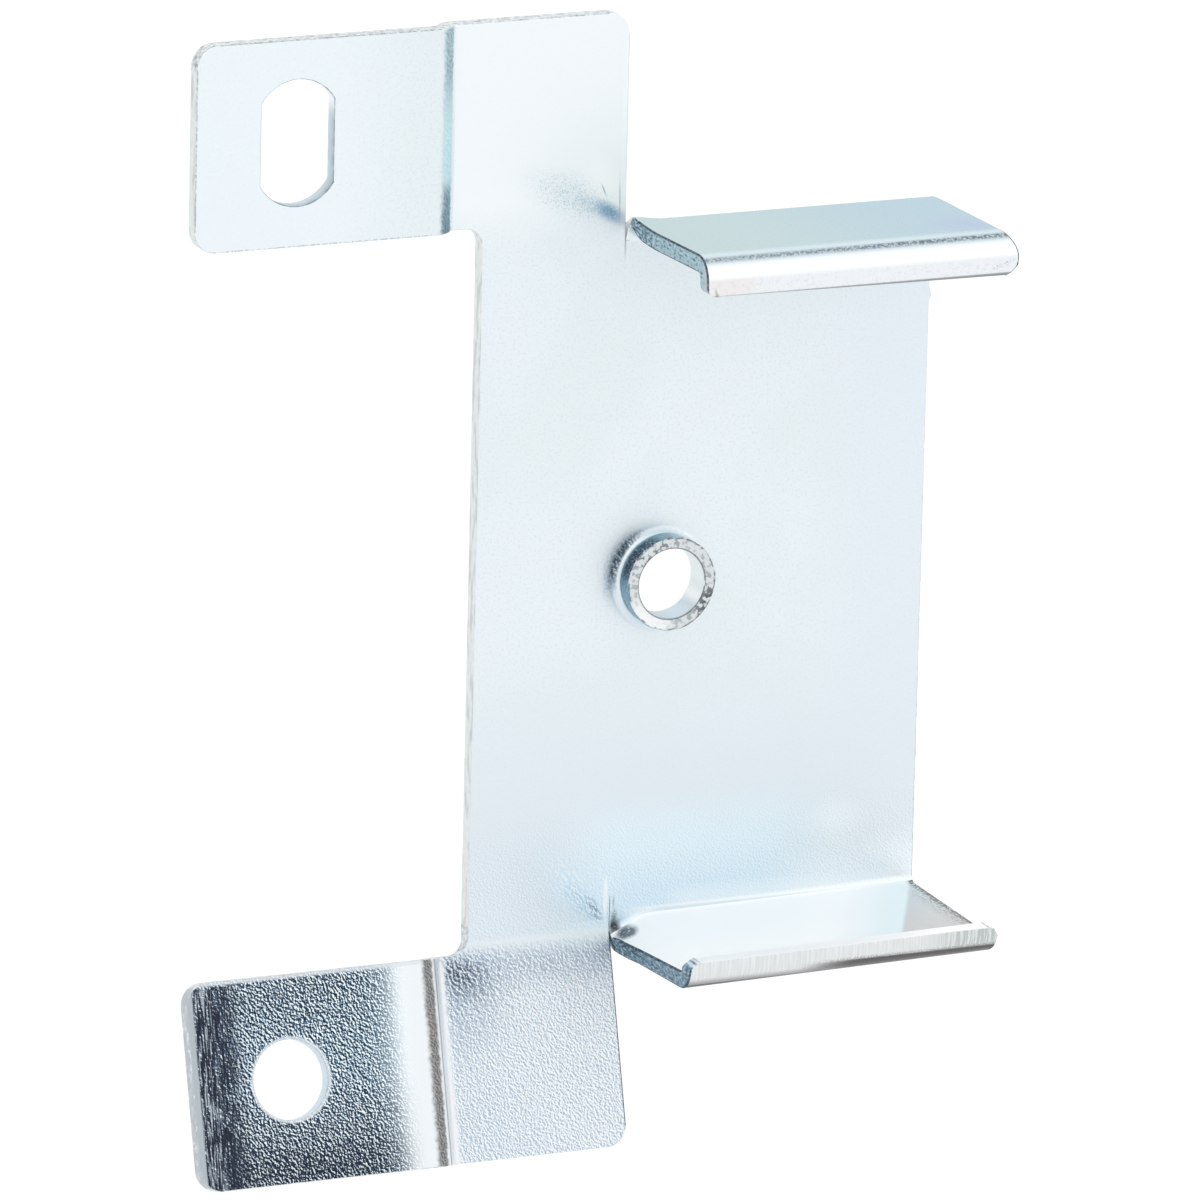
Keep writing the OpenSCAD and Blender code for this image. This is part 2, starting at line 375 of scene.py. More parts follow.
# what the paint layers can name: places on the bracket in mm, and grains
class SheetPlaces:
    def __init__(self, tree):
        self.tree = tree
        coords = addNode(tree, "ShaderNodeTexCoord").outputs["Object"]
        # the point in mm
        self.place = addNode(tree, "ShaderNodeMapping", {"Vector": coords, "Scale": (1 / mm,) * 3},
                             vector_type="POINT").outputs[0]
        split = addNode(tree, "ShaderNodeSeparateXYZ", {0: self.place}).outputs
        c, s, start, radius = (earLean[k] for k in ("cos", "sin", "start", "radius"))
        self.values = {
            "x": split[0], "y": split[1], "z": split[2],
            "leanY": self.measure((0, c, -s), radius * c - start * s - radius),
            "leanZ": self.measure((0, -s, -c), -radius * s - start * c),
            # the upper lip's painted line of shade along its bend, and the painted highlight below it, lie
            # along lipLine
            "lipLine": self.measure((-0.0068, 1, 0)),     # the upper lip's dark line runs a little askew
            "flangeEdge": self.measure((1, 0.032, 0)),    # from the flared edges of the flanges
            # flangeSlant runs across the lower flange's end, where a darker painted reflection takes over
            "flangeSlant": self.measure((1, -0.54, 0)),   # across the lower flange's darker end
            "fromBore": calc(tree, "SQRT", calc(tree, "MULTIPLY_ADD", split[0], split[0],
                                                calc(tree, "MULTIPLY", split[2], split[2]))),
        }
        self.values["raggedX"] = calc(tree, "MULTIPLY_ADD", self.value("ragged"), raggedDepth,
                                      calc(tree, "SUBTRACT", split[0], raggedDepth / 2))

    def measure(self, way, shift=0.0):
        dot = addNode(self.tree, "ShaderNodeVectorMath", {0: self.place, 1: way}, operation="DOT_PRODUCT")
        return calc(self.tree, "ADD", dot.outputs["Value"], shift)

    def value(self, name):
        if name not in self.values:
            self.values[name] = grainValue(self.tree, self.place, **grains[name])
        return self.values[name]


# masks of one layer: bands along places, an oval spot, and grains
def layerMasks(tree, places, layer):
    masks = []
    for name, band in layer.get("bands", {}).items():
        low, high, softLow = (tuple(band) + (bandSoft,))[:3]
        softHigh = band[3] if len(band) > 3 else softLow
        if low is not None:
            masks.append(rise(tree, places.value(name), low - softLow, low + softLow))
        if high is not None:
            masks.append(rise(tree, places.value(name), high + softHigh, high - softHigh))
    if "spot" in layer:
        masks.append(spotMask(tree, places, **layer["spot"]))
    for name, low, high in layer.get("grain", []):
        masks.append(rise(tree, places.value(name), low, high))
    return masks


# an oval, full inside its core and gone at its reach
def spotMask(tree, places, centre, reach, turn=0.0, core=0.0, on=("x", "z")):
    dx = calc(tree, "SUBTRACT", places.value(on[0]), centre[0])
    dz = calc(tree, "SUBTRACT", places.value(on[1]), centre[1])
    c, s = math.cos(math.radians(turn)), math.sin(math.radians(turn))
    square = 0.0
    for (fromX, fromZ), size in zip(((c, s), (-s, c)), reach):
        part = calc(tree, "MULTIPLY_ADD", dx, fromX / size, calc(tree, "MULTIPLY", dz, fromZ / size))
        square = calc(tree, "MULTIPLY_ADD", part, part, square)
    return rise(tree, calc(tree, "SQRT", square), 1.0, core)


# lays each group of layers over the base, inside the group's own area
def paintLayers(tree, places, base, groups):
    colour = base
    for group in groups:
        area = layerMasks(tree, places, {"bands": group.get("area", {})})
        for mask in area[1:]:
            area = [calc(tree, "MULTIPLY", area[0], mask)]
        for layer in group["layers"]:
            mask = layer.get("amount", 1.0)
            for part in area + layerMasks(tree, places, layer):
                mask = calc(tree, "MULTIPLY", part, mask)
            mix = addNode(tree, "ShaderNodeMix", {0: mask}, data_type="RGBA")
            for index, value in ((6, colour), (7, layer["colour"])):
                if isinstance(value, bpy.types.NodeSocket):
                    tree.links.new(value, mix.inputs[index])
                else:
                    mix.inputs[index].default_value = value
            colour = mix.outputs[2]
    return colour


def newFinish(name):
    material = bpy.data.materials.new(name)
    material.use_nodes = True
    tree = material.node_tree
    tree.nodes.clear()
    shader = addNode(tree, "ShaderNodeBsdfPrincipled")
    output = addNode(tree, "ShaderNodeOutputMaterial")
    tree.links.new(shader.outputs[0], output.inputs[0])
    return material, tree, shader


def metalFinish(name, look):
    material, tree, shader = newFinish(name)
    places = SheetPlaces(tree)
    tree.links.new(paintLayers(tree, places, look["base"], look["groups"]), shader.inputs["Base Color"])
    shader.inputs["Metallic"].default_value = look["metal"]
    fine = places.value(look["grain"])
    rough = addNode(tree, "ShaderNodeMapRange", {
        "Value": fine, "From Min": roughGrain[0], "From Max": roughGrain[1],
        "To Min": look["rough"][0], "To Max": look["rough"][1],
    })
    tree.links.new(rough.outputs[0], shader.inputs["Roughness"])
    strength, depth = look["bump"]
    bump = addNode(tree, "ShaderNodeBump", {"Height": fine, "Strength": strength, "Distance": depth * mm})
    tree.links.new(bump.outputs[0], shader.inputs["Normal"])
    return material


flangeSide = (-3.1, None, 0.02)

zincSkin = {
    "metal": 0.85,
    "base": tone(231, 239, 243),
    "grain": "fleck",
    "rough": (0.34, 0.5),
    "bump": (0.18, 0.05),
    "groups": [
        {"layers": [
            {"colour": tone(226, 236, 238), "amount": 0.5, "grain": [("cloud", 0.42, 0.6)]},
            {"colour": tone(214, 223, 230), "amount": 0.45, "grain": [("fleck", 0.5, 0.7)]},
        ]},
        # the back, where the passivate shows in faint clouds, with painted highlights and shade on its peel
        {"area": {"y": (0.9, None, 0.1), "z": (-23.0, None, 1.0)}, "layers": [
            {"colour": tone(214, 230, 226), "amount": 0.5, "grain": [("cloud", 0.56, 0.4)]},
            {"colour": tone(212, 221, 238), "amount": 0.5, "grain": [("cloud", 0.5, 0.66)]},
            {"colour": tone(200, 213, 222), "amount": 0.35, "grain": [("peel", 0.47, 0.27)]},
            {"colour": tone(246, 250, 252), "amount": 0.4, "grain": [("peel", 0.54, 0.74)]},
            {"colour": tone(196, 208, 216), "amount": 0.3, "grain": [("downStreak", 0.56, 0.66)]},
        ]},
        # plate
        {"area": {"y": (None, 0.6, 0.05), "x": (-13.7, None, 0.1), "z": (-24.0, 24.0, 0.3)}, "layers": [
            {"colour": tone(224, 232, 241), "amount": 0.5,
             "bands": {"x": (13.0, None, 4.0), "z": (-10.0, None, 6.0)}},
            {"colour": tone(222, 231, 237), "amount": 0.8, "bands": {"z": (None, -8.0, 6.0)}},
            {"colour": tone(219, 229, 236), "amount": 0.8,
             "bands": {"z": (None, -17.0, 3.0), "x": (None, -6.0, 3.0)}},
            # light blue above the lower flange
            {"colour": tone(226, 242, 250), "amount": 0.9,
             "bands": {"z": (None, -16.6, 2.6), "x": (-5.5, 11.5, 2.5, 4.0)},
             "grain": [("cloud", 0.2, 0.4)]},
            {"colour": tone(216, 236, 248), "amount": 0.7,
             "bands": {"z": (None, -20.4, 1.6), "x": (-3.0, 12.0, 1.0, 4.0)}},
            {"colour": tone(240, 248, 252), "amount": 0.9,
             "bands": {"z": (None, -20.0, 1.4), "x": (10.5, None, 3.0)}},
            {"colour": tone(240, 248, 252), "amount": 0.6,
             "spot": {"centre": (13.4, -18.4), "reach": (3.4, 2.6)}},
            # painted highlights and shade on the peel
            {"colour": tone(186, 212, 228), "amount": 0.36, "bands": {"z": (None, -17.5, 4.0)},
             "grain": [("peel", 0.46, 0.26)]},
            {"colour": tone(252, 254, 255), "amount": 0.36, "bands": {"z": (None, -17.5, 4.0)},
             "grain": [("peel", 0.54, 0.74)]},
            # painted highlight along the crease into the lower flange
            {"colour": tone(244, 250, 253), "amount": 0.5,
             "bands": {"z": (None, -21.9, 0.6), "x": (1.5, None, 1.5)}},
            {"colour": tone(246, 248, 250), "amount": 0.7,
             "bands": {"z": (None, -22.85, 0.1), "x": (-1.5, None, 1.0)}},
            # bluish patch beside the lower slit
            {"colour": tone(206, 232, 248), "amount": 0.6,
             "spot": {"centre": (-5.9, -21.2), "reach": (4.8, 2.4), "turn": -48},
             "grain": [("coarsePeel", 0.8, 0.4)]},
            {"colour": tone(246, 251, 253), "amount": 0.7,
             "spot": {"centre": (-6.2, -20.8), "reach": (4.0, 2.0), "turn": -48},
             "grain": [("coarsePeel", 0.54, 0.7)]},
            {"colour": tone(150, 194, 222), "amount": 0.55,
             "spot": {"centre": (-5.1, -22.2), "reach": (2.9, 1.0), "turn": -48},
             "grain": [("coarsePeel", 0.56, 0.34)]},
            {"colour": tone(92, 130, 162), "amount": 0.7,
             "spot": {"centre": (-4.3, -22.7), "reach": (1.5, 0.6), "turn": -60},
             "grain": [("coarsePeel", 0.58, 0.4)]},
            # painted highlight along the burr at the slit
            {"colour": tone(244, 250, 252), "amount": 0.9,
             "spot": {"centre": (-3.5, -22.0), "reach": (1.9, 0.22), "turn": 90, "core": 0.5}},
        ]},
        # painted shade on the fillet into the lower flange, with a darker painted line in its crease toward
        # the right
        {"area": {"x": (-0.5, None, 1.5), "z": (-25.5, -23.0, 0.1), "y": (-1.2, 0.1, 0.1)}, "layers": [
            {"colour": tone(200, 218, 229), "amount": 0.85},
            {"colour": tone(156, 160, 168), "amount": 0.8,
             "bands": {"z": (-23.42, -23.3, 0.04), "x": (9.0, None, 3.0)}},
        ]},
        # painted shade in the torn gap at the lower slit, darkest at its foot
        {"area": {"x": (-3.1, 1.0, 0.05), "z": (-25.5, -21.5, 0.3), "y": (-1.2, 0.6, 0.2)}, "layers": [
            {"colour": tone(58, 66, 72), "amount": 0.95,
             "spot": {"centre": (-2.85, -24.2), "reach": (0.66, 1.0), "core": 0.3},
             "grain": [("fleck", 0.2, 0.46)]},
            {"colour": tone(96, 116, 130), "amount": 0.8,
             "spot": {"centre": (-2.85, -23.3), "reach": (0.75, 0.3), "turn": 80},
             "grain": [("fleck", 0.3, 0.55)]},
            {"colour": tone(160, 178, 188), "amount": 0.8,
             "spot": {"centre": (-2.9, -22.3), "reach": (0.7, 0.12), "turn": 90}},
        ]},
        {"area": {"y": (None, 0.6, 0.05), "x": (-16.2, -3.0, 0.2), "z": (25.0, None, 2.0)}, "layers": [
            {"colour": tone(241, 246, 249), "amount": 0.9},
        ]},
        # upper ear's sheared edge
        {"area": {"x": (-3.6, -2.9, 0.03), "z": (24.0, 37.4, 0.2), "y": (None, 0.3, 0.1)}, "layers": [
            {"colour": tone(243, 247, 250), "amount": 0.6},
            {"colour": tone(188, 196, 202), "amount": 0.7, "bands": {"x": (-3.27, None, 0.03)},
             "grain": [("downStreak", 0.4, 0.55)]},
            {"colour": tone(120, 118, 120), "amount": 0.6, "bands": {"x": (-3.22, None, 0.03)},
             "grain": [("speck", 0.56, 0.64)]},
        ]},
        {"area": {"x": (-3.26, -3.12, 0.02), "z": (22.4, 24.4, 0.4), "y": (None, 0.3, 0.1)}, "layers": [
            {"colour": tone(156, 164, 170), "amount": 0.4},
        ]},
        # pale, bluish and dark blotches beside the upper slit
        {"area": {"y": (None, 0.6, 0.05), "x": (-16.0, -3.1, 0.2), "z": (21.0, None, 0.5)}, "layers": [
            {"colour": tone(228, 237, 240), "amount": 0.7,
             "spot": {"centre": (-7.4, 26.8), "reach": (4.6, 1.8), "turn": -26}},
            {"colour": tone(252, 254, 254), "amount": 0.9,
             "spot": {"centre": (-4.5, 27.0), "reach": (3.8, 2.0), "turn": -50}},
            {"colour": tone(164, 195, 207), "amount": 0.75,
             "spot": {"centre": (-7.2, 26.6), "reach": (5.0, 2.2), "turn": -26},
             "grain": [("speck", 0.54, 0.66)]},
            {"colour": tone(186, 208, 220), "amount": 0.8,
             "spot": {"centre": (-5.6, 25.9), "reach": (2.4, 0.9), "turn": -26},
             "grain": [("fleck", 0.4, 0.6)]},
            {"colour": tone(128, 169, 194), "amount": 0.95,
             "spot": {"centre": (-4.45, 25.45), "reach": (1.7, 0.8), "turn": -33, "core": 0.1},
             "grain": [("fleck", 0.15, 0.5)]},
            {"colour": tone(176, 206, 224), "amount": 0.7,
             "spot": {"centre": (-4.7, 25.4), "reach": (1.5, 0.6), "turn": -30},
             "grain": [("downStreak", 0.5, 0.62)]},
            {"colour": tone(120, 156, 172), "amount": 0.8,
             "spot": {"centre": (-4.85, 26.95), "reach": (0.75, 0.08), "turn": -67}},
            {"colour": tone(140, 168, 180), "amount": 0.7,
             "spot": {"centre": (-3.68, 26.3), "reach": (2.3, 0.09), "turn": 91},
             "grain": [("downStreak", 0.4, 0.6)]},
        ]},
        # upper tab, a trace of violet in its lower corner
        {"area": {"z": (24.5, None, 0.1), "x": (None, -17.6, 0.1), "y": (None, 0.0, 0.05)}, "layers": [
            {"colour": tone(231, 236, 248), "amount": 0.7,
             "spot": {"centre": (-33.0, 26.0), "reach": (9.0, 6.0)}},
            {"colour": tone(236, 244, 248), "amount": 0.6, "bands": {"x": (None, -22.0, 4.0)}},
            {"colour": tone(176, 183, 188), "amount": 0.7, "bands": {"z": (None, 25.12, 0.04)},
             "grain": [("fleck", 0.42, 0.56)]},
        ]},
        # leaning ear: its bluish and dark mottling is a painted reflection of darker surroundings, darker
        # towards its bend, with painted highlights and shade on its peel
        {"area": {"leanZ": (0.6, None, 0.9), "x": (-16.2, -3.1, 0.2, 0.05), "leanY": (None, 0.6, 0.1)},
         "layers": [
            {"colour": tone(226, 235, 241)},
            {"colour": tone(204, 218, 229), "amount": 0.7, "bands": {"leanZ": (None, 2.4, 1.2)}},
            {"colour": tone(200, 215, 229), "amount": 0.8,
             "bands": {"x": (None, -12.6, 2.0), "leanZ": (None, 8.5, 3.0)}},
            {"colour": tone(206, 220, 233), "amount": 0.6,
             "bands": {"x": (None, -10.5, 3.5), "leanZ": (9.5, None, 2.5)}},
            {"colour": tone(162, 180, 197), "amount": 0.85, "grain": [("peel", 0.47, 0.27)]},
            {"colour": tone(253, 254, 255), "amount": 0.85, "grain": [("peel", 0.54, 0.74)]},
            {"colour": tone(120, 138, 158), "amount": 0.8,
             "bands": {"x": (None, -11.5, 2.5), "leanZ": (None, 5.5, 3.0)},
             "grain": [("coarsePeel", 0.5, 0.3)]},
            {"colour": tone(150, 166, 184), "amount": 0.7, "bands": {"leanZ": (None, 2.8, 1.2)},
             "grain": [("coarsePeel", 0.5, 0.34)]},
            {"colour": tone(112, 128, 146), "amount": 0.7,
             "spot": {"on": ("x", "leanZ"), "centre": (-14.4, 2.2), "reach": (3.4, 2.3), "turn": 16},
             "grain": [("coarsePeel", 0.8, 0.4)]},
            {"colour": tone(58, 68, 84), "amount": 0.9, "grain": [("coarsePeel", 0.54, 0.38)],
             "spot": {"on": ("x", "leanZ"), "centre": (-14.5, 1.7), "reach": (2.8, 1.6), "turn": 16}},
            {"colour": tone(240, 243, 246), "bands": {"raggedX": (None, -15.5, 0.25)}},
            {"colour": tone(132, 130, 128), "amount": 0.7, "bands": {"x": (-3.3, None, 0.03)},
             "grain": [("downStreak", 0.42, 0.56)]},
        ]},
        # its back and the tab's, with painted highlights and shade on their peel
        {"area": {"leanZ": (0.6, None, 0.9), "x": (None, -3.1, 0.05), "leanY": (0.12, None, 0.04)},
         "layers": [
            {"colour": tone(196, 210, 220), "amount": 0.6, "grain": [("peel", 0.47, 0.27)]},
            {"colour": tone(250, 252, 253), "amount": 0.6, "grain": [("peel", 0.54, 0.74)]},
        ]},
        # leaning tab: its navy mottling is a painted reflection of darker surroundings, with painted
        # highlights and shade on its peel
        {"area": {"leanZ": (0.5, None, 0.12), "x": (None, -16.2, 0.05), "leanY": (None, -0.2, 0.05)},
         "layers": [
            {"colour": tone(238, 243, 246)},
            {"colour": tone(164, 181, 196), "bands": {"raggedX": (None, -19.8, 0.9)}},
            {"colour": tone(112, 146, 172), "bands": {"x": (None, -21.0, 1.5)}},
            {"colour": tone(76, 104, 130), "amount": 0.2, "bands": {"x": (None, -24.0, 2.5)}},
            {"colour": tone(22, 38, 58), "grain": [("tabPeel", 0.54, 0.28)],
             "bands": {"x": (None, -20.8, 1.6), "leanZ": (0.8, None, 0.25)}},
            {"colour": tone(242, 252, 255), "grain": [("tabPeel", 0.54, 0.74)],
             "bands": {"x": (None, -18.8, 0.6)}},
            {"colour": tone(40, 54, 74), "amount": 0.85,
             "bands": {"leanZ": (9.0, None, 1.8), "x": (None, -20.5, 2.5)},
             "grain": [("tabPeel", 0.74, 0.44)]},
            {"colour": tone(26, 42, 62), "amount": 0.9,
             "bands": {"leanZ": (12.0, None, 1.6), "x": (None, -20.5, 2.5)},
             "grain": [("tabPeel", 0.96, 0.58)]},
            {"colour": tone(38, 58, 78), "amount": 0.8,
             "bands": {"leanZ": (None, 3.6, 1.6), "x": (None, -21.5, 2.5)},
             "grain": [("tabPeel", 0.72, 0.42)]},
            {"colour": tone(50, 62, 82), "amount": 0.9,
             "bands": {"x": (None, -31.5, 0.9), "leanZ": (0.9, None, 0.3)},
             "grain": [("coarsePeel", 0.8, 0.4)]},
            {"colour": tone(38, 42, 56), "amount": 0.95,
             "bands": {"x": (-34.2, -31.3, 0.08, 0.9), "leanZ": (0.9, None, 0.3)},
             "grain": [("tabStreak", 0.54, 0.46)]},
            {"colour": tone(196, 208, 216), "amount": 0.6,
             "bands": {"x": (-34.2, -32.9, 0.1, 0.3), "leanZ": (0.9, None, 0.3)},
             "grain": [("tabStreak", 0.54, 0.6)]},
            {"colour": tone(182, 192, 198), "amount": 0.95, "bands": {"x": (None, -34.2, 0.06)}},
            {"colour": tone(224, 231, 236), "amount": 0.8,
             "spot": {"on": ("x", "leanZ"), "centre": (-27.6, 7.53), "reach": (2.98, 2.98), "core": 0.94}},
            {"colour": tone(222, 229, 234), "amount": 0.8, "bands": {"leanZ": (None, 0.78, 0.1)}},
        ]},
        # lower joggle: painted shade on its steep ramp
        {"area": {"leanZ": (0.3, None, 0.15), "leanY": (None, 0.1, 0.05), "z": (None, -22.6, 0.3)},
         "layers": [
            {"colour": tone(158, 158, 157), "bands": {"raggedX": (-17.5, -16.75, 0.22, 0.12)}},
            {"colour": tone(92, 92, 92), "amount": 0.8, "bands": {"raggedX": (-17.4, -16.8, 0.2)},
             "grain": [("peel", 0.58, 0.4)]},
            {"colour": tone(168, 160, 154), "amount": 0.8, "bands": {"x": (-16.5, -16.38, 0.04)}},
        ]},
        # upper joggle: painted light and shade along its ramp
        {"area": {"z": (24.9, None, 0.1), "y": (None, -0.12, 0.05), "raggedX": (-16.95, -16.13, 0.25, 0.1)},
         "layers": [
            {"colour": tone(174, 200, 205)},
            {"colour": tone(138, 162, 168), "amount": 0.7, "bands": {"z": (33.5, None, 2.5)},
             "grain": [("coarsePeel", 0.56, 0.38)]},
            {"colour": tone(216, 240, 240), "bands": {"z": (28.2, 34.0, 0.8, 2.6)}},
            {"colour": tone(150, 180, 188), "bands": {"z": (None, 27.9, 0.8)}},
            {"colour": tone(108, 130, 144), "amount": 0.6, "bands": {"z": (None, 26.2, 1.2)}},
            {"colour": tone(96, 116, 128), "amount": 0.6, "bands": {"z": (None, 28.0, 0.8)},
             "grain": [("coarsePeel", 0.56, 0.4)]},
            {"colour": tone(186, 222, 225), "amount": 0.6, "bands": {"z": (28.4, 34.4, 0.6, 2.6)},
             "grain": [("coarsePeel", 0.5, 0.35)]},
        ]},
        # upper flange and its lip: the top face painted in the tones it reflects, a painted line of shade
        # along the lip's bend and a painted highlight below it
        {"area": {"x": flangeSide, "z": (23.2, None, 0.3), "y": (None, 0.9, 0.3)}, "layers": [
            {"colour": tone(188, 208, 210), "bands": {"z": (23.95, None, 0.2)}},
            {"colour": tone(178, 203, 214),
             "bands": {"x": (8.0, None, 8.0), "y": (-11.0, None, 1.0), "z": (24.0, None, 0.2)}},
            {"colour": tone(176, 194, 217), "amount": 0.9,
             "spot": {"on": ("x", "y"), "centre": (17.6, -8.6), "reach": (3.4, 3.8), "turn": 20}},
            {"colour": tone(214, 227, 234), "bands": {"lipLine": (None, -11.1, 0.6)}},
            {"colour": tone(250, 252, 253), "bands": {"lipLine": (None, -12.1, 0.35)}},
            {"colour": tone(190, 203, 210), "amount": 0.6, "bands": {"lipLine": (-12.0, -11.5, 0.15)}},
            {"colour": tone(130, 144, 152), "amount": 0.95,
             "bands": {"lipLine": (-11.9, -11.6, 0.12)}, "grain": [("fleck", 0.7, 0.36)]},
            {"colour": tone(104, 120, 130), "amount": 0.8,
             "bands": {"lipLine": (-11.85, -11.65, 0.1), "x": (5.0, None, 8.0)},
             "grain": [("fleck", 0.64, 0.38)]},
        ]},
        {"area": {"x": flangeSide, "z": (21.7, 23.4, 0.1, 0.2), "y": (None, -12.3, 0.1)}, "layers": [
            {"colour": tone(235, 239, 243)},
            {"colour": tone(236, 232, 231), "amount": 0.8, "bands": {"x": (None, 0.4, 1.0)}},
            {"colour": tone(214, 219, 223), "amount": 0.4, "grain": [("fleck", 0.54, 0.66)]},
            {"colour": tone(150, 148, 150), "amount": 0.6,
             "spot": {"centre": (18.6, 22.9), "reach": (1.4, 0.25), "turn": 20},
             "grain": [("speck", 0.5, 0.6)]},
            {"colour": tone(150, 152, 155), "bands": {"z": (None, 22.34, 0.06)}},
        ]},
        # lower lip, with painted shade along its rounded lower edge toward the open end
        {"area": {"x": flangeSide, "z": (None, -22.9, 0.04), "y": (None, -11.9, 0.1)}, "layers": [
            {"colour": tone(224, 227, 227)},
            {"colour": tone(208, 213, 214), "amount": 0.35, "grain": [("shear", 0.48, 0.64)]},
            {"colour": tone(238, 240, 240), "amount": 0.4, "grain": [("shear", 0.52, 0.36)]},
            {"colour": tone(176, 184, 184), "amount": 0.8, "bands": {"x": (15.5, None, 2.0)},
             "grain": [("shear", 0.6, 0.42)]},
            {"colour": tone(150, 146, 142), "amount": 0.8,
             "bands": {"z": (None, -23.95, 0.1), "x": (7.2, None, 2.4)},
             "grain": [("speck", 0.42, 0.56)]},
            {"colour": tone(92, 92, 94), "bands": {"z": (None, -24.12, 0.1), "x": (7.4, None, 2.8)}},
        ]},
        # painted shade on the undersides of the lower flange and its lip, darkest at the very bottom
        {"area": {"x": flangeSide, "z": (None, -24.3, 0.15), "y": (None, 0.6, 0.1)}, "layers": [
            {"colour": tone(150, 158, 164), "amount": 0.6, "bands": {"y": (-11.2, None, 0.4)}},
            {"colour": tone(160, 160, 163),
             "bands": {"z": (None, -24.55, 0.3), "y": (None, -11.0, 0.4)}},
            {"colour": tone(74, 74, 77), "amount": 0.9,
             "bands": {"z": (None, -24.84, 0.06), "y": (None, -11.0, 0.4)}},
            {"colour": tone(96, 94, 94), "amount": 0.9,
             "bands": {"x": (7.4, None, 2.8), "y": (None, -11.0, 0.4)}},
        ]},
        # collar: painted shade in slate and teal on the side away from the light and in a dark arc on the
        # plate beside it, and painted white highlights round its root and in the bore, where it is darker
        # low down
        {"area": {"fromBore": (None, 4.9, 0.1), "y": (None, 0.3, 0.05)}, "layers": [
            {"colour": tone(220, 230, 238), "amount": 0.9,
             "bands": {"fromBore": (3.3, 3.75, 0.05, 0.1), "x": (None, 0.0, 1.0)}},
            {"colour": tone(150, 168, 180), "amount": 0.75,
             "bands": {"fromBore": (3.3, 4.15, 0.1, 0.35)}, "grain": [("fleck", 0.25, 0.6)],
             "spot": {"centre": (-3.6, 1.3), "reach": (3.4, 2.0), "turn": 62, "core": 0.3}},
            {"colour": tone(72, 90, 104), "amount": 0.9,
             "bands": {"fromBore": (3.34, 3.85, 0.06, 0.16)}, "grain": [("coarsePeel", 0.85, 0.42)],
             "spot": {"centre": (-3.1, 1.6), "reach": (2.9, 1.6), "turn": 55, "core": 0.3}},
            {"colour": tone(146, 178, 194),
             "bands": {"y": (-1.9, -0.36, 0.02, 0.1), "x": (None, 0.6, 1.0), "fromBore": (2.7, None, 0.1)}},
            {"colour": tone(112, 150, 172), "amount": 0.6,
             "bands": {"y": (None, -0.4, 0.1), "fromBore": (2.7, None, 0.1)},
             "spot": {"centre": (-3.2, -0.6), "reach": (2.4, 1.6), "turn": 80},
             "grain": [("coarsePeel", 0.85, 0.3)]},
            {"colour": tone(52, 68, 88), "amount": 0.95,
             "bands": {"y": (None, -0.62, 0.2), "fromBore": (2.7, None, 0.1)},
             "grain": [("coarsePeel", 0.95, 0.5)],
             "spot": {"centre": (-2.4, 2.1), "reach": (2.4, 1.5), "turn": 48, "core": 0.5}},
            {"colour": tone(242, 252, 253), "amount": 0.95,
             "bands": {"y": (-0.37, -0.2, 0.04), "x": (None, 0.4, 1.0), "z": (-1.2, None, 1.0),
                       "fromBore": (2.7, None, 0.1)}},
            {"colour": tone(229, 236, 238), "bands": {"fromBore": (None, 2.6, 0.05)}},
            {"colour": tone(190, 206, 216), "amount": 0.8,
             "bands": {"fromBore": (None, 2.6, 0.05), "z": (None, -0.8, 0.8)}},
            {"colour": tone(248, 250, 251), "amount": 0.8, "bands": {"fromBore": (None, 2.6, 0.05)},
             "spot": {"centre": (2.1, -1.1), "reach": (0.9, 0.5), "turn": 60}},
        ]},
    ],
}

# the lower flange's inner face: the light-blue sheen and the darker triangle at its right end are a painted
# reflection
flangeInside = {
    "metal": 0.1,
    "base": tone(254, 255, 255),
    "grain": "fleck",
    "rough": (0.3, 0.45),
    "bump": (0.15, 0.05),
    "groups": [{"layers": [
        {"colour": tone(250, 254, 255), "bands": {"y": (-6.5, None, 3.0), "x": (None, 14.0, 3.0)}},
        {"colour": tone(224, 241, 247), "amount": 0.8, "bands": {"flangeSlant": (16.0, None, 3.0)}},
        {"colour": tone(196, 209, 216), "bands": {"flangeSlant": (19.3, None, 0.25)}},
        {"colour": tone(205, 205, 203), "amount": 0.9,
         "bands": {"flangeSlant": (19.3, None, 0.25), "y": (None, -5.0, 3.5)}},
        {"colour": tone(126, 128, 128), "amount": 0.75,
         "bands": {"flangeEdge": (18.4, None, 0.9), "y": (None, -2.0, 2.0)},
         "grain": [("fleck", 0.44, 0.58)]},
        {"colour": tone(88, 92, 92), "amount": 0.95, "bands": {"flangeEdge": (18.95, None, 0.25)},
         "grain": [("fleck", 0.34, 0.54)]},
        {"colour": tone(190, 202, 210), "amount": 0.8, "bands": {"y": (None, -11.0, 0.2)},
         "grain": [("ragged", 0.4, 0.56)]},
        # painted shade by the torn corner
        {"colour": tone(70, 86, 102), "amount": 0.95,
         "spot": {"on": ("x", "y"), "centre": (-2.3, -1.0), "reach": (0.85, 1.3), "core": 0.4},
         "grain": [("fleck", 0.2, 0.46)]},
    ]}],
}

